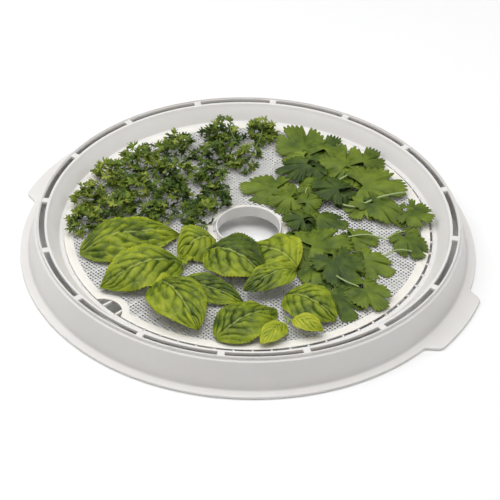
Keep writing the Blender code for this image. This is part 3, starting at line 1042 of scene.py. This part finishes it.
def build_parsley(skin, stalk):
    curls = [curl_shape(k) for k in range(6)]
    for number in range(1, 18):
        node = f"parsley_sprig_{number:02d}"
        low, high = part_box(node)
        centre = (low + high) / 2
        span = high - low
        draw = random.Random(900 + number)
        light = PARSLEY_TONES[number - 1]
        form = bmesh.new()
        tone = form.verts.layers.float.new("tone")
        for k in range(int(span.x * span.y / (14 * MM * MM)) + 8):
            mesh = draw.choice(curls)
            before = len(form.verts)
            form.from_mesh(mesh)
            form.verts.ensure_lookup_table()
            made = form.verts[before:]
            spot = sqrt(draw.random())
            turn = draw.uniform(0, tau)
            loose = 0.58 + 0.10 * sin(3 * turn + number)
            x = centre.x + loose * span.x * spot * cos(turn)
            y = centre.y + loose * span.y * spot * sin(turn)
            top = span.z * 1.1 * sqrt(max(0.10, 1 - spot * spot))
            level = draw.uniform(0.1, 1.0)
            z = low.z + level * top
            size = draw.uniform(3.8, 5.8) * MM
            lean = Matrix.Rotation(draw.uniform(-0.8, 0.8), 4, "X") @ Matrix.Rotation(
                draw.uniform(-0.9, 0.4), 4, "Y")
            pose = (Matrix.Translation((x, y, z))
                    @ Matrix.Rotation(turn + draw.uniform(-1.2, 1.2), 4, "Z")
                    @ lean @ Matrix.Scale(size, 4))
            bmesh.ops.transform(form, matrix=pose, verts=made)
            # Curls higher in the sprig are lighter by their height share: painted light on top,
            # painted shade lower down.
            shade = draw.gauss(light - 0.01, 0.17) + 0.36 * level
            for corner in made:
                corner[tone] = min(0.95, max(0.03, shade))
                corner.co.z = max(corner.co.z, SCREEN_TOP + 0.3 * MM)
        thing = as_object(node.replace("sprig", "curls"), form, [skin], 180)
        show(thicken(thing, 0.25 * MM), "parsley", "parsley_green", node)
    for mesh in curls:
        bpy.data.meshes.remove(mesh)
    build_stalks("parsley_stalks", "parsley", "parsley_green", stalk, PARSLEY_STALKS)


# Stage

def build_floor():
    form = bmesh.new()
    bmesh.ops.create_grid(form, x_segments=2, y_segments=2, size=6.0)
    floor = as_object("studio_floor", form, [floor_paper()])
    floor.location.z = -0.0002


def add_softbox(name, place, target, width, height, power):
    light = bpy.data.lights.new(name, "AREA")
    light.shape = "RECTANGLE"
    light.size = width
    light.size_y = height
    light.energy = power
    lamp = bpy.data.objects.new(name, light)
    bpy.context.scene.collection.objects.link(lamp)
    lamp.location = place
    lamp.rotation_euler = (Vector(target) - Vector(place)).to_track_quat("-Z", "Y").to_euler()


CAMERA_AZIMUTH = radians(28.8)
CAMERA_ELEVATION = radians(37.77)
CAMERA_ROLL = radians(1.45)
CAMERA_DISTANCE = 1.732
LENS = 166.3
AIM_RIGHT = 1.5 * MM
AIM_UP = -24.2 * MM
LIGHT_HEIGHT = 1.5
KEY_WATTS = 24
TOP_WATTS = 5
FILL_WATTS = 5
SKY_STRENGTH = 0.18


def view_axes():
    """Directions to the camera, to its right and up, in the object's frame."""
    a, e = CAMERA_AZIMUTH, CAMERA_ELEVATION
    back = Vector((sin(a) * cos(e), -cos(a) * cos(e), sin(e)))
    right = Vector((cos(a), sin(a), 0))
    return back, right, back.cross(right)


def build_camera():
    back, right, up = view_axes()
    lens = bpy.data.cameras.new("camera")
    lens.sensor_width = 36.0
    lens.lens = LENS
    lens.clip_start = 0.05
    camera = bpy.data.objects.new("camera", lens)
    bpy.context.scene.collection.objects.link(camera)
    target = Vector((0, 0, RIM_Z))
    place = target + back * CAMERA_DISTANCE
    aim = target + right * AIM_RIGHT + up * AIM_UP
    look = (place - aim).normalized()
    side = up.cross(look).normalized()
    basis = Matrix((side, look.cross(side), look)).transposed()
    camera.matrix_world = Matrix.Translation(place) @ (
        basis @ Matrix.Rotation(CAMERA_ROLL, 3, "Z")).to_4x4()
    bpy.context.scene.camera = camera


def build_lights():
    back, right, _ = view_axes()
    flat = Vector((back.x, back.y, 0)).normalized()
    overhead = Vector((0, 0, LIGHT_HEIGHT))
    add_softbox("key", overhead - right * 0.5 - flat * 0.15, (0, 0, 0), 2.0, 2.0, KEY_WATTS)
    add_softbox("top", overhead + flat * 0.25, (0, 0, 0), 0.7, 0.7, TOP_WATTS)
    add_softbox("fill", overhead * 0.8 + right * 1.0 - flat * 0.1, (0, 0, 0), 1.2, 1.2, FILL_WATTS)
    world = bpy.data.worlds.new("studio")
    bpy.context.scene.world = world
    world.use_nodes = True
    sky = world.node_tree.nodes["Background"]
    sky.inputs["Color"].default_value = (1.0, 1.0, 1.0, 1.0)
    sky.inputs["Strength"].default_value = SKY_STRENGTH
    bpy.context.scene.view_settings.view_transform = "Standard"


build_camera()
build_lights()
build_floor()
white = tray_plastic()
build_tray_shell(white)
build_tray_floor(white)
build_screen_borders(screen_plastic())
build_screen_mesh(strand_plastic())
build_basil(basil_skin(), stalk_skin("stalk_bright", (0.36, 0.46, 0.10), (0.22, 0.34, 0.05)))
build_cilantro(cilantro_skin(), stalk_skin("stalk_pale", (0.42, 0.50, 0.22), (0.26, 0.36, 0.12)))
build_parsley(parsley_skin(), stalk_skin("stalk_dark", (0.22, 0.32, 0.08), (0.10, 0.17, 0.03)))
